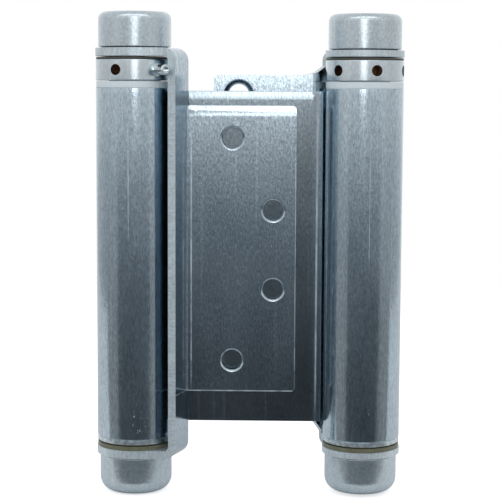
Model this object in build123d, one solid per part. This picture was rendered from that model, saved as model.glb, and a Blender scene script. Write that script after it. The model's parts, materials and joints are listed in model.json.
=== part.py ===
from build123d import *
from math import acos, asin, atan, atan2, cos, degrees, hypot, radians, sin, sqrt, tan
import os

# Double action spring hinge. The origin lies on the jamb leaf's outer face, midway between the two
# barrels and at the leaf's mid-height. +X runs from the jamb barrel to the door barrel, +Y from that
# face through the spring case to the door leaf, and +Z is up. All sizes are millimetres.

# Spring case: one sheet rolled into a tube at each end
axis_spacing = 71.0
tube_r = 12.05
case_sheet = 2.0
case_bend_r = 5.7
seam_gap = 0.9
tube_top = 49.8
tube_bottom = -58.6
web_top = 49.0
web_bottom = -54.5
web_step = 0.25

# Play between the web and each leaf
leaf_gap = 0.3

# Leaves: sheet, half height, reach from their barrel's axis
jamb_sheet = 2.5
jamb_half = 44.5
jamb_reach = 50.1
door_sheet = 2.0
door_half = 53.9
door_reach = 46.6
plate_corner_r = 1.3
leaf_bend_r = 1.0

# Flange strips: gap round the tube, slant from the Y direction, width, bend into the ears
jamb_strip_gap = 2.15
jamb_slant = 18.5
jamb_strip_width = 11.0
jamb_ear_bend_r = 1.5
door_strip_gap = 0.95
door_slant = 30.0
door_strip_width = 16.2
door_ear_bend_r = 1.0
strip_relief = 0.5
ear_margin = 0.1

# Necks of the door leaf's ears: width, drop from the bend to the slope, height of the curve
door_neck_width = 10.0
neck_drop = 1.6
neck_rise = 1.0

# Screw holes: how far in from the plate's tip and from its ends, for each leaf
hole_r = 3.15
countersink_r = 4.75
jamb_holes = ((19.7, 9.9), (7.05, 32.2))
door_holes = ((7.7, 5.9), (20.2, 36.9))

# Barrel stack, from the tube outwards
bush_flange = 2.1
bush_spigot = 6.0
collar_gap = 0.15
collar_height = 6.5
ear_washer = 0.65
ear_gap = 0.3
plug_flange = 1.85
plug_spigot = 6.0
plug_gap = 0.25
bottom_washer = 1.3
ring_inset = 0.1
washer_lip = 0.5
edge_break = 0.3

# Fits
running_fit = 0.05
seat_fit = 0.02

# Collar and hub
collar_wall = 2.55
bush_wall = 2.15
nose_gap = 0.6
hub_nose = 5.0
bar_holes = 6
bar_hole_r = 1.68
bar_hole_depth = 5.75

# Tension pin
pin_r = 1.6
pin_stand = 6.05
pin_shoulder_r = 1.9
pin_shoulder = 1.2
pin_shoulder_gap = 0.1
pin_edge_play = 0.06
pin_tip_play = 0.25
pin_socket_r = 0.95
pin_socket = 1.2

# Spindle
spindle_r = 4.0
head_height = 6.0
disc_height = 5.0
end_play = 0.05

# Caps
cap_inset = 0.8
cap_wall = 1.0
cap_gap = 0.35
top_cap_height = 10.7
top_cap_round = 2.3
bottom_cap_height = 11.75
bottom_cap_round = 4.2

# Torsion spring of square wire
wire = 2.6
spring_gap = 0.6
spring_turns = 12
tang_bend_r = 1.9
tang = 3.0
tang_play = 0.1
spring_end_gap = 0.3

# What follows from the sizes above
tube_mean_r = tube_r - case_sheet / 2
tube_bore_r = tube_r - case_sheet
ring_r = tube_r - ring_inset
web_step_r = tube_r + web_step
jamb_strip_r = tube_r + jamb_strip_gap
door_strip_r = tube_r + door_strip_gap
ear_r = tube_r + ear_margin
leaf_face = case_sheet / 2 + leaf_gap
barrel_y = leaf_face + jamb_sheet
bush_top = tube_top + bush_flange
collar_bottom = bush_top + collar_gap
collar_top = collar_bottom + collar_height
ear_top = collar_top + ear_washer + ear_gap
plug_bottom = tube_bottom - plug_flange
ear_bottom = plug_bottom - plug_gap - bottom_washer
collar_bore_r = tube_r - collar_wall
hub_spigot_r = tube_bore_r - bush_wall
spring_mean_r = tube_bore_r - spring_gap - wire / 2
hub_nose_r = spring_mean_r - wire / 2 - nose_gap
pin_reach = tube_r + pin_stand
pin_height = (collar_bottom + collar_top) / 2
hub_nose_bottom = tube_top - bush_spigot - hub_nose
cap_r = tube_r - cap_inset
cap_bore_r = cap_r - cap_wall


def ring(outer, inner, low, high):
    """A washer or sleeve on the barrel's axis."""
    body = Cylinder(outer, high - low, align=(Align.CENTER, Align.CENTER, Align.MIN))
    body -= Cylinder(inner, high - low, align=(Align.CENTER, Align.CENTER, Align.MIN))
    return Pos(0, 0, low) * body


def disc(radius, low, high):
    """A plain cylinder on the barrel's axis."""
    return Pos(0, 0, low) * Cylinder(radius, high - low, align=(Align.CENTER, Align.CENTER, Align.MIN))


def bent_strip(centre, mean_r, start, turn, sheet):
    """The face of a sheet bent round a centre, from a start angle through a turn in degrees."""
    outer = CenterArc(centre, mean_r + sheet / 2, start, turn)
    inner = CenterArc(centre, mean_r - sheet / 2, start, turn)
    return make_face([outer, inner, Line(outer @ 0, inner @ 0), Line(outer @ 1, inner @ 1)])


def case_half():
    """The door barrel's tube, its bend and half of the web, seen from above about the door axis."""
    bend_x = sqrt(tube_mean_r**2 + 2 * tube_mean_r * case_bend_r)
    meet = degrees(atan2(case_bend_r, bend_x))
    span = tube_mean_r + case_bend_r
    back_r = case_bend_r + case_sheet / 2
    shadow = degrees(acos((tube_r**2 + span**2 - back_r**2) / (2 * tube_r * span)))
    seam = shadow + degrees(seam_gap / tube_r)
    tube = bent_strip((0, 0), tube_mean_r, 180 - meet, seam - 360, case_sheet)
    bend = bent_strip((-bend_x, case_bend_r), case_bend_r, -90, 90 - meet, case_sheet)
    web_length = axis_spacing / 2 - bend_x
    web = Pos(-bend_x - web_length / 2, 0) * Rectangle(web_length, case_sheet)
    return Pos(axis_spacing / 2, 0) * (tube + bend + web)


def make_case():
    half = case_half()
    outline = half + Rot(0, 0, 180) * half
    case = Pos(0, 0, tube_bottom) * extrude(outline, tube_top - tube_bottom)
    between = axis_spacing - 2 * web_step_r
    for low, high in ((web_top, tube_top + 1), (tube_bottom - 1, web_bottom)):
        cutter = Box(between, 2 * tube_r, high - low, align=(Align.CENTER, Align.CENTER, Align.MIN))
        case -= Pos(0, 0, low) * cutter
    return Pos(0, barrel_y, 0) * case


def make_leaf(sheet, half, reach, strip_r, slant, strip_width, ear_bend, neck_width, holes):
    """A leaf about its own barrel's axis, with its plate towards +X in front of the web.

    A neck width of 0 means that the ears are as wide as the strip.
    """
    out = Vector(cos(radians(slant)), -sin(radians(slant)), 0)
    back = Vector(sin(radians(slant)), cos(radians(slant)), 0)
    mid_r = strip_r + sheet / 2
    plate_y = -(leaf_face + sheet / 2)
    web_end = (strip_r * sin(radians(slant)) - leaf_face) / cos(radians(slant)) - strip_relief
    free_end = web_end + strip_relief - strip_width
    ear_width = neck_width or web_end - free_end
    neck_end = free_end + ear_width
    ear_outer_top = ear_top + sheet
    ear_outer_bottom = ear_bottom - sheet
    bend_start = strip_r - ear_bend

    # Flange strip, with its ears' bends as wide as the necks
    side = Plane(origin=back * neck_end, x_dir=out, z_dir=-back)
    path = FilletPolyline(
        (bend_start - 1, ear_top + sheet / 2),
        (mid_r, ear_top + sheet / 2),
        (mid_r, ear_bottom - sheet / 2),
        (bend_start - 1, ear_bottom - sheet / 2),
        radius=ear_bend + sheet / 2,
    )
    leaf = extrude(side * trace(path, sheet), ear_width)
    full = Plane(origin=back * web_end, x_dir=out, z_dir=-back)
    drop = ear_bend + (neck_drop if neck_width else 0)
    low = ear_bottom + drop
    high = ear_top - drop
    wall = Pos(mid_r, (low + high) / 2) * Rectangle(sheet, high - low)
    leaf += extrude(full * wall, web_end - free_end)

    # Plate, bent from the strip, with sloping necks where it stands taller than the strip's root
    bend = leaf_bend_r + sheet / 2
    corner_s = (mid_r * sin(radians(slant)) + plate_y) / cos(radians(slant))
    corner = out * mid_r + back * corner_s
    tangent = bend * tan(radians(90 - slant) / 2)
    start = corner - back * (tangent + 1)
    sheet_line = FilletPolyline((start.X, start.Y), (corner.X, corner.Y), (reach, plate_y), radius=bend)
    plate_high = high if neck_width else half
    plate_low = low if neck_width else -half
    root = Plane(origin=back * (web_end + 1), x_dir=out, z_dir=-back)
    gap = Pos(mid_r, (plate_low + plate_high) / 2) * Rectangle(sheet + 1, plate_high - plate_low)
    leaf -= extrude(root * gap, web_end + 1 - corner_s + tangent)
    leaf += Pos(0, 0, plate_low) * extrude(trace(sheet_line, sheet), plate_high - plate_low)
    if neck_width:
        strip = corner_s - neck_end
        leaf -= neck_cutter(corner, slant, sheet, strip, half, high, reach)
        leaf -= mirror(neck_cutter(corner, slant, sheet, strip, half, -low, reach), Plane.XY)

    # Ears: a lobe round the axis, drawn out to the neck
    lobe = Circle(ear_r)
    points = [out * r + back * s for r, s in ((bend_start, free_end), (bend_start, neck_end), (0, 0))]
    neck = Polyline(*[(p.X, p.Y) for p in points], close=True)
    outline = make_hull(lobe.edges() + neck.edges())
    leaf += Pos(0, 0, ear_top) * extrude(outline, sheet)
    leaf += Pos(0, 0, ear_outer_bottom) * extrude(outline, sheet)
    leaf -= disc(spindle_r + seat_fit, ear_outer_bottom - 1, ear_outer_top + 1)

    # Rounded plate corners and the countersunk holes
    tips = leaf.edges().filter_by(Axis.Y).filter_by(lambda edge: edge.center().X > reach - 0.01)
    leaf = fillet(tips, plate_corner_r)
    for from_tip, from_end in holes:
        for height in (half - from_end, from_end - half):
            place = Plane(origin=(reach - from_tip, -leaf_face, height), z_dir=(0, 1, 0))
            leaf -= place * CounterSinkHole(hole_r, countersink_r, 2 * sheet, 90)
    return leaf


def neck_cutter(corner, slant, sheet, strip, half, high, reach):
    """What is cut from above a tall plate: a curve on the plate, then a slope on the strip."""
    turn = radians(90 - slant) / 2
    along = Vector(cos(turn), sin(turn), 0)
    across = Vector(sin(turn), -cos(turn), 0)
    foot = -strip * cos(turn) + sheet / 2 * sin(turn)
    slope = atan((high - half - neck_rise) / -foot)
    curve_r = neck_rise / (1 - cos(slope))
    start = curve_r * sin(slope)
    arc = CenterArc((start, half + curve_r), curve_r, -90, -degrees(slope))
    far = reach
    top = high + 1
    lines = Polyline(arc @ 1, (foot, high), (foot, top), (far, top), (far, half), (start, half))
    shape = make_face([arc, *lines.edges()])
    level = Vector(corner.X, corner.Y, 0)
    deep = Plane(origin=level - across * reach, x_dir=along, z_dir=across)
    return extrude(deep * shape, 2 * reach)


def make_plug():
    """The plate in the tube's lower end, with a notch in its spigot's rim for the spring's tang."""
    plug = disc(ring_r, plug_bottom, tube_bottom)
    plug = chamfer(plug.edges(), edge_break)
    plug += disc(tube_bore_r - seat_fit, tube_bottom - edge_break, tube_bottom + plug_spigot)
    plug += disc(hub_nose_r, tube_bottom, tube_bottom + plug_spigot + hub_nose)
    plug -= disc(spindle_r + running_fit, plug_bottom - 1, tube_bottom + plug_spigot + hub_nose + 1)
    foot = spring_lines()[1] @ 1
    inner = foot.X - wire / 2 - tang_play
    notch = Box(tube_r - inner, wire + 2 * tang_play, tang + wire, align=(Align.MIN, Align.CENTER, Align.MIN))
    plug -= Pos(inner, foot.Y, foot.Z - tang - tang_play) * notch
    return plug


def make_bush():
    """The flanged bush in the tube's upper end: its flange is the white ring under the collar."""
    bush = disc(ring_r, tube_top, bush_top)
    bush += disc(tube_bore_r - seat_fit, tube_top - bush_spigot, tube_top)
    bush -= disc(hub_spigot_r + running_fit, tube_top - bush_spigot - 1, bush_top + 1)
    return bush


def pin_angle(strip_r, slant, strip_width):
    """Direction of the resting pin, in degrees: its shoulder just clears the strip's free edge."""
    free = (strip_r * sin(radians(slant)) - leaf_face) / cos(radians(slant)) - strip_width
    corner_x = strip_r * cos(radians(slant)) + free * sin(radians(slant))
    corner_y = -strip_r * sin(radians(slant)) + free * cos(radians(slant))
    beside = degrees(asin((pin_shoulder_r + pin_edge_play) / hypot(corner_x, corner_y)))
    return degrees(atan2(corner_y, corner_x)) - beside


def bar_hole_cutters(angle):
    """The ring of radial holes that take the tension pin and the tommy bar."""
    depth = bar_hole_depth + 1
    hole = Cylinder(bar_hole_r, depth, align=(Align.CENTER, Align.CENTER, Align.MIN))
    cutters = []
    for step in range(bar_holes):
        turn = Rot(0, 0, angle + step * 360 / bar_holes)
        cutters.append(turn * Pos(tube_r - bar_hole_depth, 0, pin_height) * Rot(0, 90, 0) * hole)
    return cutters


def make_collar(angle):
    collar = chamfer(disc(tube_r, collar_bottom, collar_top).edges(), edge_break)
    collar -= disc(collar_bore_r, collar_bottom - 1, collar_top + 1)
    return collar - bar_hole_cutters(angle)


def make_hub(angle):
    """The spring head inside the collar, with a spigot in the bush and a nose in the spring."""
    hub = disc(collar_bore_r - seat_fit, collar_bottom, collar_top)
    hub += disc(hub_spigot_r, tube_top - bush_spigot, collar_bottom)
    hub += disc(hub_nose_r, hub_nose_bottom, tube_top - bush_spigot)
    hub -= disc(spindle_r + running_fit, hub_nose_bottom - 1, collar_top + 1)
    return hub - bar_hole_cutters(angle)


def make_pin(angle):
    """The tension pin: its end in the hub, a shoulder outside the collar and a socket in its head."""
    inner = tube_r - bar_hole_depth + pin_tip_play
    length = pin_reach - inner
    pin = Cylinder(pin_r, length, align=(Align.CENTER, Align.CENTER, Align.MIN))
    pin = chamfer(pin.edges().sort_by(Axis.Z)[0], edge_break)
    shoulder = Cylinder(pin_shoulder_r, pin_shoulder, align=(Align.CENTER, Align.CENTER, Align.MIN))
    pin += Pos(0, 0, tube_r + pin_shoulder_gap - inner) * shoulder
    pin = fillet(pin.edges().sort_by(Axis.Z)[-1], edge_break)
    socket = Cylinder(pin_socket_r, pin_socket, align=(Align.CENTER, Align.CENTER, Align.MAX))
    pin -= Pos(0, 0, length) * socket
    return Rot(0, 0, angle) * Pos(inner, 0, pin_height) * Rot(0, 90, 0) * pin


def make_cap(height, rounding):
    """A drawn cup, mouth down at its own Z = 0."""
    shell = disc(cap_r, 0, height)
    shell = fillet(shell.edges().sort_by(Axis.Z)[-1], rounding)
    hollow = disc(cap_bore_r, -1, height - cap_wall)
    hollow = chamfer(hollow.edges().sort_by(Axis.Z)[-1], rounding - cap_wall)
    return shell - hollow


def make_spindle(sheet, cap_low, cap_high):
    """The spindle with its lower head, from one cap's crown to the other's."""
    low = cap_low + cap_wall + end_play
    high = cap_high - cap_wall - end_play
    spindle = disc(spindle_r, low, high)
    head = disc(cap_bore_r - seat_fit, ear_bottom - sheet - head_height, ear_bottom - sheet)
    return spindle + chamfer(head.edges().sort_by(Axis.Z)[0], edge_break)


def spring_lines():
    """The coil's helix, and the arc that turns its lower end down into the plug."""
    low = tube_bottom + plug_spigot + tang_bend_r
    high = tube_top - bush_spigot - spring_end_gap - wire / 2
    helix = Helix((high - low) / spring_turns, high - low, spring_mean_r, center=(0, 0, low))
    along = helix % 0
    turned = helix @ 0 - along * tang_bend_r - Vector(0, 0, tang_bend_r)
    return helix, TangentArc(helix @ 0, turned, tangent=-along)


def make_spring():
    """The torsion spring: its lower tang stands in the plug, its upper end stops under the hub."""
    helix, elbow = spring_lines()
    start = Plane(origin=helix @ 0, x_dir=(1, 0, 0), z_dir=helix % 0)
    foot = Plane(origin=elbow @ 1, x_dir=(1, 0, 0), z_dir=elbow % 1)
    section = Rectangle(wire, wire)
    coil = sweep(start * section, path=helix, is_frenet=True)
    tail = sweep(start * section, path=elbow)
    return coil + (tail + extrude(foot * section, tang))


def barrel_parts(name, sheet, strip_r, slant, strip_width):
    """Everything stacked on one barrel, about its axis."""
    top_low = ear_top + sheet + cap_gap
    bottom_high = ear_bottom - sheet - cap_gap
    top_high = top_low + top_cap_height
    bottom_low = bottom_high - bottom_cap_height
    angle = pin_angle(strip_r, slant, strip_width)
    disc_low = ear_top + sheet
    bottom_cap = make_cap(bottom_cap_height, bottom_cap_round)
    disc_part = ring(cap_bore_r - seat_fit, spindle_r + seat_fit, disc_low, disc_low + disc_height)
    return {
        name + "_top_cap": Pos(0, 0, top_low) * make_cap(top_cap_height, top_cap_round),
        name + "_bottom_cap": Pos(0, 0, bottom_high) * Rot(180, 0, 0) * bottom_cap,
        name + "_spindle": make_spindle(sheet, bottom_low, top_high),
        name + "_spindle_disc": disc_part,
        name + "_ear_washer": ring(ring_r, spindle_r + washer_lip, collar_top, collar_top + ear_washer),
        name + "_collar": make_collar(angle),
        name + "_collar_hub": make_hub(angle),
        name + "_tension_pin": make_pin(angle),
        name + "_collar_bush": make_bush(),
        name + "_torsion_spring": make_spring(),
        name + "_bottom_plug": make_plug(),
        name + "_bottom_washer": ring(ring_r, spindle_r + washer_lip, ear_bottom, ear_bottom + bottom_washer),
    }


jamb_strip = (jamb_strip_r, jamb_slant, jamb_strip_width)
door_strip = (door_strip_r, door_slant, door_strip_width)
jamb_parts = barrel_parts("jamb", jamb_sheet, *jamb_strip)
jamb_parts["jamb_leaf"] = make_leaf(
    jamb_sheet, jamb_half, jamb_reach, *jamb_strip, jamb_ear_bend_r, 0, jamb_holes
)
door_parts = barrel_parts("door", door_sheet, *door_strip)
door_parts["door_leaf"] = make_leaf(
    door_sheet, door_half, door_reach, *door_strip, door_ear_bend_r, door_neck_width, door_holes
)
jamb_place = Pos(-axis_spacing / 2, barrel_y, 0)
door_place = Pos(axis_spacing / 2, barrel_y, 0) * Rot(0, 0, 180)
parts = {"spring_case": make_case()}
for node, shape in jamb_parts.items():
    parts[node] = jamb_place * shape
for node, shape in door_parts.items():
    parts[node] = door_place * shape

os.makedirs("parts", exist_ok=True)
for node, shape in parts.items():
    export_step(shape, "parts/" + node + ".step")
    print(node, round(shape.volume, 1))
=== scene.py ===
# Double action spring hinge: finishes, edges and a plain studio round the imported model. Lengths are in metres.
import json
from math import atan2, cos, pi, radians, sin

import bpy
from mathutils import Euler, Matrix, Vector


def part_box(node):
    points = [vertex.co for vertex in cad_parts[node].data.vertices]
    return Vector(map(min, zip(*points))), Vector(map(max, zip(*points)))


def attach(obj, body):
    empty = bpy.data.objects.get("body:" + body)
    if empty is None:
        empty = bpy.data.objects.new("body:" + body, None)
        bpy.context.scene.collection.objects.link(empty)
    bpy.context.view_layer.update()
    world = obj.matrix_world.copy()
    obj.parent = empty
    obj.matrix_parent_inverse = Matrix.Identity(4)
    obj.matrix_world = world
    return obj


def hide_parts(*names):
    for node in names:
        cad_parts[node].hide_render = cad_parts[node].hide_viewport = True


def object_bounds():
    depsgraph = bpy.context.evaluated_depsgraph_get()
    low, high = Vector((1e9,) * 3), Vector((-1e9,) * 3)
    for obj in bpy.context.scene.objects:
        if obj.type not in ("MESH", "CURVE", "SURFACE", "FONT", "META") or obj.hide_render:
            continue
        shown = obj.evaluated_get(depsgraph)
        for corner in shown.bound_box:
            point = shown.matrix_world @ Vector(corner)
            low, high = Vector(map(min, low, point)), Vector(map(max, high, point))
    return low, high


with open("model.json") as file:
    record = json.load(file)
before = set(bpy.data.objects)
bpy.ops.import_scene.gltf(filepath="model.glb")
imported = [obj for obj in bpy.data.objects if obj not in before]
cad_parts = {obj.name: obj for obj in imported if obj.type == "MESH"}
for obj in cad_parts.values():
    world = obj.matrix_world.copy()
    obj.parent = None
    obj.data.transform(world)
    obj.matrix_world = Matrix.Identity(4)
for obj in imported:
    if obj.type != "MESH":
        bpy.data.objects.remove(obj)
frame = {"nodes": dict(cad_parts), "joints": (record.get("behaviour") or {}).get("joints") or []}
nodes = frame["nodes"]
cadBounds = [list(corner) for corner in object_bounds()]
joints = {joint["name"]: joint for joint in frame["joints"]}
mm = 0.001
close = 0.01 * mm  # points nearer than this count as one
smoothBelow = 33  # edges flatter than this many degrees are shaded smooth
sides = ("jamb", "door")


def centreOf(node):
    low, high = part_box(node)
    return (low + high) / 2


axes = {side: centreOf(side + "_top_cap") for side in sides}  # middle of each barrel
tubeRadius = (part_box("jamb_collar")[1].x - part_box("jamb_collar")[0].x) / 2
print("frame loaded:", len(nodes), "nodes")


# Modelling helpers

def deselectAll():
    if bpy.context.object and bpy.context.object.mode != "OBJECT":
        bpy.ops.object.mode_set(mode="OBJECT")
    bpy.ops.object.select_all(action="DESELECT")


def pick(piece):
    deselectAll()
    piece.select_set(True)
    bpy.context.view_layer.objects.active = piece


def applyModifier(piece, kind, **settings):
    pick(piece)
    modifier = piece.modifiers.new(kind.title(), kind)
    for key, value in settings.items():
        setattr(modifier, key, value)
    bpy.ops.object.modifier_apply(modifier=modifier.name)


def clearSelection(piece):
    for part in (*piece.data.vertices, *piece.data.edges, *piece.data.polygons):
        part.select = False


def startEdit(piece, wanted=None):
    # Edit mode with only the wanted faces selected, or all of them
    pick(piece)
    clearSelection(piece)
    for face in piece.data.polygons:
        face.select = wanted is None or bool(wanted(face))
    bpy.ops.object.mode_set(mode="EDIT")
    bpy.ops.mesh.select_mode(type="FACE")


def endEdit():
    bpy.ops.object.mode_set(mode="OBJECT")


def finishPiece(piece, name, body, material, node):
    pick(piece)
    bpy.ops.object.transform_apply(location=True, rotation=True, scale=True)
    startEdit(piece)
    bpy.ops.mesh.normals_make_consistent(inside=False)
    endEdit()
    bpy.ops.object.shade_smooth_by_angle(angle=radians(smoothBelow))
    applyModifier(piece, "WEIGHTED_NORMAL", mode="FACE_AREA_WITH_ANGLE", weight=100, keep_sharp=True)
    piece.name = name
    if not piece.data.materials:
        piece.data.materials.append(material)
    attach(piece, body)
    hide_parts(node)


# Materials: every pattern reads Object coordinates

def newMaterial(name):
    material = bpy.data.materials.new(name)
    material.use_nodes = True
    tree = material.node_tree
    return material, tree, tree.nodes["Principled BSDF"]


def join(tree, value, socket):
    if hasattr(value, "is_linked"):
        tree.links.new(value, socket)
    elif isinstance(value, (tuple, list)):
        socket.default_value = (*value, 1) if len(value) == 3 and len(socket.default_value) == 4 else value
    else:
        socket.default_value = value


def math(tree, kind, first, second=0.5, third=0.5):
    node = tree.nodes.new("ShaderNodeMath")
    node.operation = kind
    for socket, value in zip(node.inputs, (first, second, third)):
        join(tree, value, socket)
    return node.outputs[0]


def coordinates(tree, stretch=(1, 1, 1), turn=(0, 0, 0)):
    source = tree.nodes.new("ShaderNodeTexCoord")
    mapping = tree.nodes.new("ShaderNodeMapping")
    mapping.inputs["Scale"].default_value = stretch
    mapping.inputs["Rotation"].default_value = turn
    tree.links.new(source.outputs["Object"], mapping.inputs["Vector"])
    return mapping.outputs["Vector"]


def noise(tree, scale, stretch=(1, 1, 1), detail=2.0, rough=0.5, turn=(0, 0, 0)):
    texture = tree.nodes.new("ShaderNodeTexNoise")
    texture.inputs["Scale"].default_value = scale
    texture.inputs["Detail"].default_value = detail
    texture.inputs["Roughness"].default_value = rough
    tree.links.new(coordinates(tree, stretch, turn), texture.inputs["Vector"])
    return texture.outputs["Fac"]


def place(tree, axis):
    split = tree.nodes.new("ShaderNodeSeparateXYZ")
    tree.links.new(coordinates(tree), split.inputs[0])
    return split.outputs[axis]


def between(tree, value, low, high, first=0.0, last=1.0, kind="SMOOTHSTEP"):
    node = tree.nodes.new("ShaderNodeMapRange")
    node.interpolation_type = kind
    for key, part in (("From Min", low), ("From Max", high), ("To Min", first), ("To Max", last)):
        node.inputs[key].default_value = part
    tree.links.new(value, node.inputs["Value"])
    return node.outputs["Result"]


def ramp(tree, value, *stops):
    node = tree.nodes.new("ShaderNodeValToRGB")
    points = node.color_ramp.elements
    while len(points) < len(stops):
        points.new(0.5)
    for point, (where, colour) in zip(points, stops):
        point.position = where
        point.color = (colour, colour, colour, 1) if isinstance(colour, (int, float)) else (*colour, 1)
    tree.links.new(value, node.inputs["Fac"])
    return node.outputs["Color"]


def blendColour(tree, kind, factor, first, second):
    node = tree.nodes.new("ShaderNodeMix")
    node.data_type = "RGBA"
    node.blend_type = kind
    for socket, value in ((node.inputs[0], factor), (node.inputs[6], first), (node.inputs[7], second)):
        join(tree, value, socket)
    return node.outputs[2]


def bump(tree, height, distance):
    node = tree.nodes.new("ShaderNodeBump")
    node.inputs["Distance"].default_value = distance
    node.inputs["Strength"].default_value = 1.0
    tree.links.new(height, node.inputs["Height"])
    return node.outputs["Normal"]


def shade(colour, factor):
    return tuple(min(1.0, part * factor) for part in colour)


def scuffMask(tree, scuffs):
    # White rubs, each at x and z with a half width and a half height
    total = None
    pattern = ramp(tree, noise(tree, 1500, (1, 1, 0.3), 5, 0.75, (0, 0.4, 0)), (0.60, 0.0), (0.66, 0.9))
    across, up = place(tree, "X"), place(tree, "Z")
    for x, z, wide, high in scuffs:
        sideways = math(tree, "MULTIPLY", math(tree, "SUBTRACT", across, x * mm), 1 / (wide * mm))
        upwards = math(tree, "MULTIPLY", math(tree, "SUBTRACT", up, z * mm), 1 / (high * mm))
        distance = math(tree, "ADD", math(tree, "POWER", sideways, 2.0), math(tree, "POWER", upwards, 2.0))
        spot = between(tree, distance, 0.2, 1.0, 1.0, 0.0)
        total = spot if total is None else math(tree, "MAXIMUM", total, spot)
    return math(tree, "MULTIPLY", total, pattern)


def wearAndHighlightMask(tree, lines):
    # Bright lines, partly real tool marks and partly painted highlights along bends and edges: each runs along an
    # axis at a place, with a half width, between two ends and at a strength
    total = None
    spots = {"X": place(tree, "X"), "Z": place(tree, "Z")}
    patches = ramp(tree, noise(tree, 260, (1, 1, 0.5), 3, 0.6), (0.38, 0.45), (0.6, 1.0))
    for along, at, wide, low, high, strength in lines:
        over = "X" if along == "Z" else "Z"
        apart = math(tree, "ABSOLUTE", math(tree, "SUBTRACT", spots[over], at * mm))
        line = between(tree, apart, 0.3 * wide * mm, 1.3 * wide * mm, strength, 0.0)
        middle, reach = (low + high) / 2 * mm, (high - low) / 2 * mm
        end = math(tree, "ABSOLUTE", math(tree, "SUBTRACT", spots[along], middle))
        line = math(tree, "MULTIPLY", line, between(tree, end, 0.6 * reach, reach, 1.0, 0.0))
        total = line if total is None else math(tree, "MAXIMUM", total, line)
    return math(tree, "MULTIPLY", total, patches)


def zincFinish(name, finish):
    # Bright zinc over rolled steel: fine grain, speckle, clouds, long faint scratches and a few rubs
    material, tree, shader = newMaterial(name)
    colour = finish["colour"]
    grain = noise(tree, finish["grainScale"], (1, 1, finish["grainLength"]), 2, 0.55)
    grit = noise(tree, 1900, (1, 1, 0.5), 2, 0.6)
    clouds = noise(tree, 70, (1, 1, 0.45), 3, 0.6)
    scratches = noise(tree, 650, (1, 1, 0.02), 1, 0.4, (0, 0.03, 0))
    tone = ramp(tree, clouds, (0.32, shade(colour, 0.93)), (0.68, shade(colour, 1.03)))
    low = 1 - finish["contrast"]
    tone = blendColour(tree, "MULTIPLY", 1.0, tone, ramp(tree, grain, (0.34, low), (0.66, 1.0)))
    low = 1 - 0.6 * finish["contrast"]
    tone = blendColour(tree, "MULTIPLY", 1.0, tone, ramp(tree, grit, (0.36, low), (0.6, 1.0)))
    if finish.get("web"):  # painted shade: the middle sheet stands in the leaf's shade and is darkened, less so along its rolled upper edge
        web = finish["web"]
        apart = math(tree, "ABSOLUTE", place(tree, "X"))
        # painted shade over the middle sheet, fading out towards the barrels
        inner = between(tree, apart, web["half"] * mm, (web["half"] + web["fade"]) * mm, web["tone"], 1.0)
        low = (web["top"] - web["topFade"]) * mm
        # lighter painted shade along the rolled top edge
        rolled = between(tree, place(tree, "Z"), low, web["top"] * mm, web["tone"], web["rolledEdgeShade"])
        inner = math(tree, "MAXIMUM", inner, rolled)
        tone = blendColour(tree, "MULTIPLY", 1.0, tone, inner)
    lines = ramp(tree, scratches, (0.66, 0.0), (0.72, finish["scratch"]))
    tone = blendColour(tree, "ADD", 1.0, tone, lines)
    rough = math(tree, "ADD", math(tree, "MULTIPLY", clouds, 0.10), finish["roughness"] - 0.05)
    if finish.get("scuffs"):
        rubs = scuffMask(tree, finish["scuffs"])
        tone = blendColour(tree, "MIX", rubs, tone, (0.93, 0.95, 0.96))
        rough = math(tree, "ADD", rough, math(tree, "MULTIPLY", rubs, 0.3))
    # painted highlights along bends and edges, with tool marks on the tubes: colour lightened and roughness raised
    if finish.get("wearAndHighlights"):
        wearAndHighlights = wearAndHighlightMask(tree, finish["wearAndHighlights"])
        tone = blendColour(tree, "MIX", wearAndHighlights, tone, (0.85, 0.95, 1.0))
        rough = math(tree, "ADD", rough, math(tree, "MULTIPLY", wearAndHighlights, 0.42))
    tree.links.new(tone, shader.inputs["Base Color"])
    tree.links.new(rough, shader.inputs["Roughness"])
    relief = math(tree, "ADD", grain, math(tree, "MULTIPLY", grit, 0.7))
    tree.links.new(bump(tree, relief, finish["relief"] * mm), shader.inputs["Normal"])
    shader.inputs["Metallic"].default_value = 1.0
    return material


caseFinish = {
    "colour": (0.67, 0.797, 0.888), "roughness": 0.15, "grainScale": 2500, "grainLength": 0.2, "contrast": 0.25,
    "scratch": 0.10, "relief": 0.016,
    # painted shade on the middle sheet: tone is its darkening, rolledEdgeShade the lighter darkening along its rolled
    # top edge
    "web": {"half": 19, "fade": 4, "tone": 0.55, "top": 48.0, "topFade": 1.4, "rolledEdgeShade": 0.78},
    # the line at x 21.1 is a painted highlight along the bend beside the right barrel; those at -36.5 and 36.9 are
    # tool marks on the tubes
    "wearAndHighlights": (("Z", 21.1, 0.30, -60, 60, 0.8), ("Z", -36.5, 0.16, 2, 44, 0.7), ("Z", 36.9, 0.16, -10, 44, 0.5)),
    "scuffs": ((-33.5, -52, 3.5, 7), (37.5, -52, 1.2, 4), (33.5, -58, 2.5, 2), (-43, 42, 5, 4), (41, 42, 7, 3)),
}
leafFinish = {
    "colour": (0.63, 0.75, 0.838), "roughness": 0.14, "grainScale": 2400, "grainLength": 0.22, "contrast": 0.28,
    "scratch": 0.08, "relief": 0.02, "scuffs": ((-6.5, 31, 2.5, 1.5), (8.5, 26, 2.5, 4), (8, 1, 2, 1)),
    # painted highlights along the leaf's bend by its flange, its right edge and its bottom edge
    "wearAndHighlights": (("Z", -17.8, 0.25, -50, 43, 0.75), ("Z", 14.5, 0.2, -60, 40, 0.5), ("X", -44.3, 0.22, -30, 22, 0.75)),
}
capFinish = {
    "colour": (0.70, 0.80, 0.86), "roughness": 0.27, "grainScale": 1300, "grainLength": 0.8, "contrast": 0.16,
    "scratch": 0.05, "relief": 0.02,
}
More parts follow.
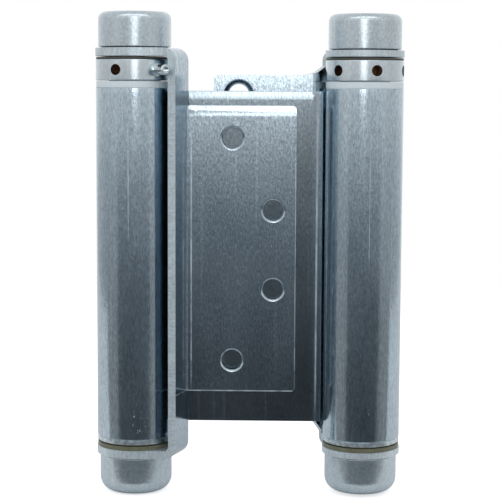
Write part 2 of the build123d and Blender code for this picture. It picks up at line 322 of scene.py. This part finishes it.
collarFinish = {
    "colour": (0.72, 0.81, 0.86), "roughness": 0.22, "grainScale": 1500, "grainLength": 0.4, "contrast": 0.10,
    "scratch": 0.04, "relief": 0.012,
}
caseZinc = zincFinish("caseZinc", caseFinish)
jambZinc = zincFinish("jambZinc", leafFinish)
doorZinc = zincFinish("doorZinc", {**leafFinish, "scuffs": None, "wearAndHighlights": None})  # its front is hidden
capZinc = zincFinish("capZinc", capFinish)
collarZinc = zincFinish("collarZinc", collarFinish)


def shearedEdge(name, stretch):
    # The cut edge of sheet: matt, with fine shear marks across it
    material, tree, shader = newMaterial(name)
    marks = noise(tree, 1500, stretch, 1, 0.4)
    grit = noise(tree, 1800, (1, 1, 1), 3, 0.65)
    clouds = noise(tree, 200, (1, 1, 1), 2, 0.5)
    tone = ramp(tree, clouds, (0.3, (0.74, 0.85, 0.91)), (0.7, (0.84, 0.94, 1.0)))
    tone = blendColour(tree, "MULTIPLY", 1.0, tone, ramp(tree, marks, (0.36, 0.86), (0.6, 1.0)))
    tone = blendColour(tree, "MULTIPLY", 1.0, tone, ramp(tree, grit, (0.35, 0.82), (0.6, 1.0)))
    tree.links.new(tone, shader.inputs["Base Color"])
    tree.links.new(bump(tree, math(tree, "ADD", marks, grit), 0.00003), shader.inputs["Normal"])
    shader.inputs["Metallic"].default_value = 0.85
    shader.inputs["Roughness"].default_value = 0.45
    return material


cutUpright = shearedEdge("cutUpright", (0.3, 0.3, 1))
cutRound = shearedEdge("cutRound", (1, 1, 0.2))


def plainFinish(name, colour, roughness, metallic, dark=0.8, scale=350, relief=0.03):
    # One colour with darker clouds and a fine grit
    material, tree, shader = newMaterial(name)
    clouds = noise(tree, scale, (1, 1, 1), 3, 0.6)
    grit = noise(tree, 2400, (1, 1, 1), 2, 0.5)
    tree.links.new(ramp(tree, clouds, (0.32, shade(colour, dark)), (0.68, colour)), shader.inputs["Base Color"])
    tree.links.new(bump(tree, grit, relief * mm), shader.inputs["Normal"])
    shader.inputs["Metallic"].default_value = metallic
    shader.inputs["Roughness"].default_value = roughness
    return material


plainPlan = {
    "whitePlastic": {"colour": (0.85, 0.96, 1.0), "roughness": 0.35, "metallic": 0.0, "dark": 0.95},
    # painted shade: a nylon washer in the shadow under the ear, given a near-black grey
    "paintedShadeWasher": {"colour": (0.085, 0.09, 0.075), "roughness": 0.45, "metallic": 0.0},
    "oliveWasher": {"colour": (0.20, 0.205, 0.135), "roughness": 0.32, "metallic": 0.0, "dark": 0.65},
    "bronzeHub": {"colour": (0.36, 0.17, 0.085), "roughness": 0.45, "metallic": 0.6, "dark": 0.35},
    "spindleSteel": {"colour": (0.45, 0.48, 0.50), "roughness": 0.3, "metallic": 1.0},
    "discSteel": {"colour": (0.05, 0.05, 0.055), "roughness": 0.4, "metallic": 0.8},
    "springSteel": {"colour": (0.14, 0.14, 0.15), "roughness": 0.4, "metallic": 1.0},
    "pinZinc": {"colour": (0.76, 0.83, 0.86), "roughness": 0.2, "metallic": 1.0, "dark": 0.85, "scale": 500,
                "relief": 0.012},
    "plugZinc": {"colour": (0.80, 0.90, 0.95), "roughness": 0.32, "metallic": 1.0, "dark": 0.55, "scale": 700},
}
plain = {name: plainFinish(name, **plan) for name, plan in plainPlan.items()}

nodeFinish = {
    "leaf": jambZinc, "top_cap": capZinc, "bottom_cap": capZinc, "spindle": plain["spindleSteel"],
    "spindle_disc": plain["discSteel"], "ear_washer": plain["paintedShadeWasher"], "collar": collarZinc,
    "collar_hub": plain["bronzeHub"], "tension_pin": plain["pinZinc"], "collar_bush": plain["whitePlastic"],
    "torsion_spring": plain["springSteel"], "bottom_plug": plain["plugZinc"], "bottom_washer": plain["oliveWasher"],
}


def paintNode(node, material):
    data = nodes[node].data
    data.materials.clear()
    data.materials.append(material)


paintNode("spring_case", caseZinc)
for side in sides:
    for part, material in nodeFinish.items():
        paintNode(side + "_" + part, material)
print("materials done")


# Sheet pieces: the case and the two leaves, with softened edges and sheared cut faces

def rollEdge(piece, roll):
    # The sheared upper edge rolls back: rows are cut across the front face and pushed back, more towards the edge
    pick(piece)
    left, right, top = roll["left"] * mm, roll["right"] * mm, roll["top"] * mm
    bpy.ops.object.mode_set(mode="EDIT")
    bpy.ops.mesh.select_mode(type="VERT")
    for share in roll["rows"]:
        bpy.ops.mesh.select_all(action="SELECT")
        bpy.ops.mesh.bisect(plane_co=(0, 0, top - (1 - share) * roll["width"] * mm), plane_no=(0, 0, 1))
    for x in (left, right):
        bpy.ops.mesh.select_all(action="SELECT")
        bpy.ops.mesh.bisect(plane_co=(x, 0, 0), plane_no=(1, 0, 0))
    bpy.ops.object.mode_set(mode="OBJECT")
    points = piece.data.vertices
    front = min(point.co.y for point in points
                if left <= point.co.x <= right and abs(point.co.z - top) < 2 * close)
    for share in (*roll["rows"], 1.0):
        height = top - (1 - share) * roll["width"] * mm
        clearSelection(piece)
        for point in points:
            inside = left - close <= point.co.x <= right + close
            point.select = inside and abs(point.co.z - height) < close and point.co.y < front + 2 * close
        bpy.ops.object.mode_set(mode="EDIT")
        bpy.ops.transform.translate(value=(0, roll["drop"] * mm * share ** roll["power"], 0))
        bpy.ops.object.mode_set(mode="OBJECT")


def roundHole(piece, x, z, plan):
    # The punched rim on the front face rolls into the hole
    pick(piece)
    bpy.ops.object.mode_set(mode="EDIT")
    bpy.ops.mesh.select_mode(type="EDGE")
    bpy.ops.mesh.select_all(action="DESELECT")
    bpy.ops.object.mode_set(mode="OBJECT")
    points = piece.data.vertices
    reach = plan["holeSearch"] * mm
    front = min(point.co.y for point in points if abs(point.co.x - x) < reach and abs(point.co.z - z) < reach)
    chosen = 0
    for edge in piece.data.edges:
        ends = [points[index].co for index in edge.vertices]
        apart = [((end.x - x) ** 2 + (end.z - z) ** 2) ** 0.5 for end in ends]
        onRim = all(abs(value - plan["holeRadius"] * mm) < 5 * close for value in apart)
        edge.select = onRim and all(end.y < front + 5 * close for end in ends)
        chosen += edge.select
    bpy.ops.object.mode_set(mode="EDIT")
    if chosen:
        bpy.ops.mesh.bevel(offset=plan["holeRoll"] * mm, offset_type="OFFSET", segments=4, profile=0.5)
    bpy.ops.object.mode_set(mode="OBJECT")
    print("hole rim edges", chosen)


def sheetPiece(node, name, plan, zincOf):
    # A copy of the node's sheet, whose body has the node's name
    piece = nodes[node].copy()
    piece.data = nodes[node].data.copy()
    piece.parent = None
    for key in list(piece.keys()):
        del piece[key]
    bpy.context.scene.collection.objects.link(piece)
    pick(piece)
    if piece.data.has_custom_normals:
        bpy.ops.mesh.customdata_custom_splitnormals_clear()
    startEdit(piece)
    bpy.ops.mesh.remove_doubles(threshold=0.2 * close)
    bpy.ops.mesh.dissolve_limited(angle_limit=radians(sheetRule["flat"]))
    endEdit()
    piece.data.materials.clear()
    for material in (zincOf, cutUpright, cutRound):
        piece.data.materials.append(material)
    if plan.get("roll"):
        rollEdge(piece, plan["roll"])
    cuts = 0
    for face in piece.data.polygons:  # a face with more than the sheet behind it is a cut edge
        start = face.center - face.normal * close
        hit, spot, _, _ = piece.ray_cast(start, -face.normal)
        if not hit or (spot - start).length > sheetRule["deep"] * plan["sheet"] * mm:
            face.material_index = 2 if abs(face.center.z) > plan["earFrom"] * mm else 1
            cuts += 1
    for x, z in plan.get("holes", ()):
        roundHole(piece, x * mm, z * mm, plan)
    applyModifier(piece, "BEVEL", width=plan["soften"] * mm, segments=2, limit_method="ANGLE",
                  angle_limit=radians(sheetRule["sharp"]), use_clamp_overlap=True)
    finishPiece(piece, name, node, zincOf, node)
    print(name, len(piece.data.polygons), "faces,", cuts, "cut faces")


sheetRule = {"flat": 0.3, "sharp": 38, "deep": 1.5}  # degrees, degrees and sheets
casePlan = {"sheet": 2.0, "soften": 0.4, "earFrom": 70,
            "roll": {"top": 49.0, "left": -19.5, "right": 19.5, "width": 3.4, "drop": 0.3, "power": 3.0,
                     "rows": (0.2, 0.35, 0.5, 0.7)}}
jambPlan = {"sheet": 2.5, "soften": 0.55, "earFrom": 56, "holeRadius": 3.15, "holeRoll": 0.7, "holeSearch": 8,
            "holes": ((-5.1, 34.6), (-5.1, -34.6), (7.55, 12.3), (7.55, -12.3)),
            "roll": {"top": 44.5, "left": -16.0, "right": 14.7, "width": 4.6, "drop": 0.32, "power": 3.2,
                     "rows": (0.25, 0.4, 0.55, 0.7)}}
doorPlan = {"sheet": 2.0, "soften": 0.35, "earFrom": 56}
sheetPiece("spring_case", "rolledCase", casePlan, caseZinc)
sheetPiece("jamb_leaf", "jambLeafDressed", jambPlan, jambZinc)
sheetPiece("door_leaf", "doorLeafDressed", doorPlan, doorZinc)
print("sheet pieces done")


# Turned pieces

def turnedBlank(side, radius, low, high, turns=128):
    deselectAll()
    spot = (axes[side].x, axes[side].y, (low + high) / 2)
    bpy.ops.mesh.primitive_cylinder_add(vertices=turns, radius=radius, depth=high - low, location=spot)
    piece = bpy.context.object
    bpy.ops.object.transform_apply(location=True, rotation=True, scale=True)
    return piece


def facing(up):
    # The flat end that faces up (1) or down (-1)
    return lambda face: face.normal.z * up > 0.999


def bevelRim(piece, up, width, segments):
    startEdit(piece, facing(up))
    bpy.ops.mesh.bevel(offset=width, offset_type="OFFSET", segments=segments, profile=0.5)
    endEdit()


def softenRims(piece, width, segments):
    applyModifier(piece, "BEVEL", width=width * mm, segments=segments, limit_method="ANGLE", angle_limit=radians(60))


def bridgeRims():
    # Joins the two open rims of the piece that is being edited
    bpy.ops.mesh.select_all(action="DESELECT")
    bpy.ops.mesh.select_mode(type="EDGE")
    bpy.ops.mesh.select_non_manifold()
    bpy.ops.mesh.bridge_edge_loops()


def hollowRing(piece, bore, radius):
    # Opens a disc into a ring: both ends inset to the bore, then bridged
    startEdit(piece, lambda face: abs(face.normal.z) > 0.999)
    bpy.ops.mesh.inset(thickness=radius - bore, depth=0)
    bpy.ops.mesh.delete(type="ONLY_FACE")
    bridgeRims()
    endEdit()


capPlan = {"wall": 1.0, "roof": 1.6, "topRound": 2.3, "bottomRound": 4.2, "rim": 0.25}


def makeCap(side, end):
    node = side + "_" + end + "_cap"
    low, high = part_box(node)
    radius = (high.x - low.x) / 2
    up = 1 if end == "top" else -1
    piece = turnedBlank(side, radius, low.z, high.z, 160)
    bevelRim(piece, up, capPlan[end + "Round"] * mm, 10)
    startEdit(piece, facing(-up))
    bpy.ops.mesh.inset(thickness=capPlan["wall"] * mm, depth=0)
    deep = (high.z - low.z) - capPlan["roof"] * mm
    bpy.ops.mesh.extrude_region_move(TRANSFORM_OT_translate={"value": (0, 0, up * deep)})
    endEdit()
    softenRims(piece, capPlan["rim"], 2)
    finishPiece(piece, side + end.title() + "CapDressed", side + "_leaf", capZinc, node)


collarPlan = {"wall": 2.55, "holes": 6, "holeRadius": 1.68, "drillLength": 5, "edge": 0.35}


def makeCollar(side):
    node = side + "_collar"
    low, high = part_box(node)
    radius = (high.x - low.x) / 2
    piece = turnedBlank(side, radius, low.z, high.z, 160)
    hollowRing(piece, radius - collarPlan["wall"] * mm, radius)
    softenRims(piece, collarPlan["edge"], 3)
    direction = Vector(joints[side + "_pin_pull"]["axis"])
    first = atan2(direction.y, direction.x)
    pinHeight = centreOf(side + "_tension_pin").z
    reach = radius - collarPlan["wall"] * mm / 2
    for step in range(collarPlan["holes"]):
        angle = first + step * 2 * pi / collarPlan["holes"]
        deselectAll()
        spot = (axes[side].x + reach * cos(angle), axes[side].y + reach * sin(angle), pinHeight)
        bpy.ops.mesh.primitive_cylinder_add(vertices=48, radius=collarPlan["holeRadius"] * mm,
                                            depth=collarPlan["drillLength"] * mm, location=spot,
                                            rotation=(0, pi / 2, angle))
        drill = bpy.context.object
        applyModifier(piece, "BOOLEAN", object=drill, operation="DIFFERENCE", solver="EXACT")
        bpy.data.objects.remove(drill)
    finishPiece(piece, side + "CollarDressed", side + "_collar", collarZinc, node)


washerPlan = {"bore": 4.1, "edge": 0.12}


def makeWasher(side, part, body, material):
    node = side + "_" + part
    low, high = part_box(node)
    radius = (high.x - low.x) / 2
    piece = turnedBlank(side, radius, low.z, high.z)
    hollowRing(piece, washerPlan["bore"] * mm, radius)
    softenRims(piece, washerPlan["edge"], 2)
    finishPiece(piece, side + part.title().replace("_", "") + "Dressed", body, material, node)


bushPlan = {"flange": 2.1, "wall": 2.08, "spigot": 10.03, "edge": 0.22}


def makeBush(side):
    node = side + "_collar_bush"
    low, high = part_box(node)
    radius = (high.x - low.x) / 2
    foot = high.z - bushPlan["flange"] * mm
    piece = turnedBlank(side, radius, foot, high.z)
    startEdit(piece, facing(-1))  # the spigot below the flange
    bpy.ops.mesh.inset(thickness=radius - bushPlan["spigot"] * mm, depth=0)
    bpy.ops.mesh.extrude_region_move(TRANSFORM_OT_translate={"value": (0, 0, low.z - foot)})
    endEdit()
    bore = (bushPlan["spigot"] - bushPlan["wall"]) * mm
    startEdit(piece, facing(1))  # the bore, from both ends
    bpy.ops.mesh.inset(thickness=radius - bore, depth=0)
    bpy.ops.mesh.delete(type="ONLY_FACE")
    endEdit()
    startEdit(piece, lambda face: facing(-1)(face) and face.center.z < low.z + 10 * close)
    bpy.ops.mesh.inset(thickness=bushPlan["wall"] * mm, depth=0)
    bpy.ops.mesh.delete(type="ONLY_FACE")
    bridgeRims()
    endEdit()
    softenRims(piece, bushPlan["edge"], 3)
    finishPiece(piece, side + "BushDressed", "spring_case", plain["whitePlastic"], node)


pinPlan = {"radius": 1.6, "shoulderRadius": 1.9, "shoulder": 1.2, "gap": 0.1, "socket": 0.95, "socketDeep": 1.2,
           "inner": 6.55, "reach": 18.1, "edge": 0.35, "tipEdge": 0.3}


def makePin(side):
    direction = Vector(joints[side + "_pin_pull"]["axis"]).normalized()
    angle = atan2(direction.y, direction.x)
    pinHeight = centreOf(side + "_tension_pin").z
    middle = (pinPlan["inner"] + pinPlan["reach"]) / 2 * mm
    deselectAll()
    bpy.ops.mesh.primitive_cylinder_add(vertices=64, radius=pinPlan["radius"] * mm,
                                        depth=(pinPlan["reach"] - pinPlan["inner"]) * mm, location=(0, 0, middle))
    piece = bpy.context.object
    bpy.ops.object.transform_apply(location=True, rotation=True, scale=True)
    bevelRim(piece, 1, pinPlan["edge"] * mm, 5)
    bevelRim(piece, -1, pinPlan["tipEdge"] * mm, 1)
    startEdit(piece, facing(1))  # the socket in its head
    bpy.ops.mesh.inset(thickness=(pinPlan["radius"] - pinPlan["edge"] - pinPlan["socket"]) * mm, depth=0)
    bpy.ops.mesh.extrude_region_move(TRANSFORM_OT_translate={"value": (0, 0, -pinPlan["socketDeep"] * mm)})
    endEdit()
    start = tubeRadius + pinPlan["gap"] * mm
    startEdit(piece)  # two cuts mark the shoulder
    for height in (start, start + pinPlan["shoulder"] * mm):
        bpy.ops.mesh.select_all(action="SELECT")
        bpy.ops.mesh.bisect(plane_co=(0, 0, height), plane_no=(0, 0, 1))
    endEdit()
    startEdit(piece, lambda face: start < face.center.z < start + pinPlan["shoulder"] * mm
              and abs(face.normal.z) < 0.1)
    bpy.ops.mesh.extrude_region_shrink_fatten(
        TRANSFORM_OT_shrink_fatten={"value": (pinPlan["shoulderRadius"] - pinPlan["radius"]) * mm})
    endEdit()
    piece.rotation_euler = (0, pi / 2, angle)
    piece.location = (axes[side].x, axes[side].y, pinHeight)
    finishPiece(piece, side + "PinDressed", side + "_pin", plain["pinZinc"], side + "_tension_pin")


for side in sides:
    for end in ("top", "bottom"):
        makeCap(side, end)
    makeCollar(side)
    makeWasher(side, "ear_washer", side + "_collar", plain["paintedShadeWasher"])
    makeWasher(side, "bottom_washer", side + "_leaf", plain["oliveWasher"])
    makeBush(side)
    makePin(side)
print("turned pieces done")


# Studio: world, floor, soft boxes and camera

def bluish(level):
    return (0.76 * level, 0.88 * level, level)


worldPlan = {  # brightness seen in the metal: from front to back, the sky's share of it, and from below to above
    "round": ((0.0, 0.0), (0.12, 0.02), (0.165, 0.05), (0.198, 0.19), (0.33, 0.235), (0.5, 0.26), (0.7, 0.34),
              (0.88, 0.45), (1.0, 1.0)),
    "flank": ((0.0, 1.0), (0.2, 1.0), (0.36, 0.72), (0.65, 0.70), (1.0, 1.0)),
    "rise": ((0.0, bluish(0.40)), (0.25, bluish(0.33)), (0.325, bluish(0.22)), (0.36, bluish(0.07)),
             (0.39, bluish(0.045)), (0.405, bluish(0.06)), (0.4175, bluish(0.08)), (0.4305, bluish(0.11)),
             (0.4435, bluish(0.155)), (0.4565, bluish(0.19)), (0.4695, bluish(0.25)),
             (0.4825, (0.43, 0.45, 0.46)), (0.488, 0.74), (0.6, 0.76), (1.0, 0.80)),
}


def makeWorld():
    world = bpy.data.worlds.new("studio")
    bpy.context.scene.world = world
    world.use_nodes = True
    tree = world.node_tree
    tree.nodes.clear()
    output = tree.nodes.new("ShaderNodeOutputWorld")
    source = tree.nodes.new("ShaderNodeTexCoord")
    split = tree.nodes.new("ShaderNodeSeparateXYZ")
    tree.links.new(source.outputs["Generated"], split.inputs[0])
    depth = math(tree, "MULTIPLY_ADD", split.outputs["Y"], 0.5, 0.5)
    height = math(tree, "MULTIPLY_ADD", split.outputs["Z"], 0.5, 0.5)
    room = ramp(tree, depth, *worldPlan["round"])
    sky = ramp(tree, height, *worldPlan["rise"])
    sky = blendColour(tree, "MULTIPLY", 1.0, sky, ramp(tree, depth, *worldPlan["flank"]))
    soft = tree.nodes.new("ShaderNodeBackground")
    tree.links.new(blendColour(tree, "SCREEN", 1.0, room, sky), soft.inputs["Color"])
    white = tree.nodes.new("ShaderNodeBackground")
    white.inputs["Color"].default_value = (1, 1, 1, 1)
    path = tree.nodes.new("ShaderNodeLightPath")
    mix = tree.nodes.new("ShaderNodeMixShader")
    tree.links.new(path.outputs["Is Camera Ray"], mix.inputs[0])
    tree.links.new(soft.outputs[0], mix.inputs[1])
    tree.links.new(white.outputs[0], mix.inputs[2])
    tree.links.new(mix.outputs[0], output.inputs["Surface"])


floorPlan = {"front": -0.018, "back": 0.5, "half": 0.45, "below": 0.0002, "white": 0.62,
             "colour": (0.85, 0.86, 0.87, 1), "roughness": 0.9}


def makeFloor():
    deselectAll()
    base = cadBounds[0][2] - floorPlan["below"]
    deep = floorPlan["back"] - floorPlan["front"]
    bpy.ops.mesh.primitive_plane_add(size=1, location=(0, floorPlan["front"] + deep / 2, base))
    floor = bpy.context.object
    floor.name = "floor"
    floor.scale = (2 * floorPlan["half"], deep, 1)
    bpy.ops.object.transform_apply(location=True, rotation=False, scale=True)
    material, tree, shader = newMaterial("paleFloor")
    shader.inputs["Base Color"].default_value = floorPlan["colour"]
    shader.inputs["Roughness"].default_value = floorPlan["roughness"]
    glow = tree.nodes.new("ShaderNodeEmission")
    path = tree.nodes.new("ShaderNodeLightPath")
    tree.links.new(math(tree, "MULTIPLY", path.outputs["Is Camera Ray"], floorPlan["white"]), glow.inputs["Strength"])
    both = tree.nodes.new("ShaderNodeAddShader")
    tree.links.new(shader.outputs[0], both.inputs[0])
    tree.links.new(glow.outputs[0], both.inputs[1])
    tree.links.new(both.outputs[0], tree.nodes["Material Output"].inputs["Surface"])
    floor.data.materials.append(material)


boxPlan = {
    "frontBox": {"low": 0.052, "high": 0.25, "half": 0.05, "away": -0.36, "level": 1.7},
    "highBox": {"low": 0.26, "high": 0.46, "half": 0.22, "away": -0.20, "level": 0.9},
}


def makeSoftBox(name, plan):
    lamp = bpy.data.lights.new(name, "AREA")
    lamp.shape = "RECTANGLE"
    lamp.size, lamp.size_y = 2 * plan["half"], plan["high"] - plan["low"]
    lamp.energy = plan["level"] * pi * lamp.size * lamp.size_y
    box = bpy.data.objects.new(name, lamp)
    bpy.context.scene.collection.objects.link(box)
    box.location = (0, plan["away"], (plan["high"] + plan["low"]) / 2)
    box.rotation_euler = (pi / 2, 0, 0)
    box.visible_camera = False


cameraPlan = {"place": (0.01094, -0.4714, 0.0503), "down": 6.089, "turn": 1.276, "roll": 0.265,
              "lens": 110.15}  # angles in degrees, lens in millimetres


def makeCamera():
    data = bpy.data.cameras.new("camera")
    data.lens = cameraPlan["lens"]
    camera = bpy.data.objects.new("camera", data)
    bpy.context.scene.collection.objects.link(camera)
    facingWay = Euler((pi / 2 - radians(cameraPlan["down"]), 0, radians(cameraPlan["turn"]))).to_matrix()
    turned = facingWay @ Matrix.Rotation(radians(cameraPlan["roll"]), 3, "Z")
    camera.matrix_world = Matrix.Translation(cameraPlan["place"]) @ turned.to_4x4()
    bpy.context.scene.camera = camera


makeWorld()
makeFloor()
for name, plan in boxPlan.items():
    makeSoftBox(name, plan)
makeCamera()
bpy.context.scene.view_settings.view_transform = "Standard"
print("studio done")

deselectAll()
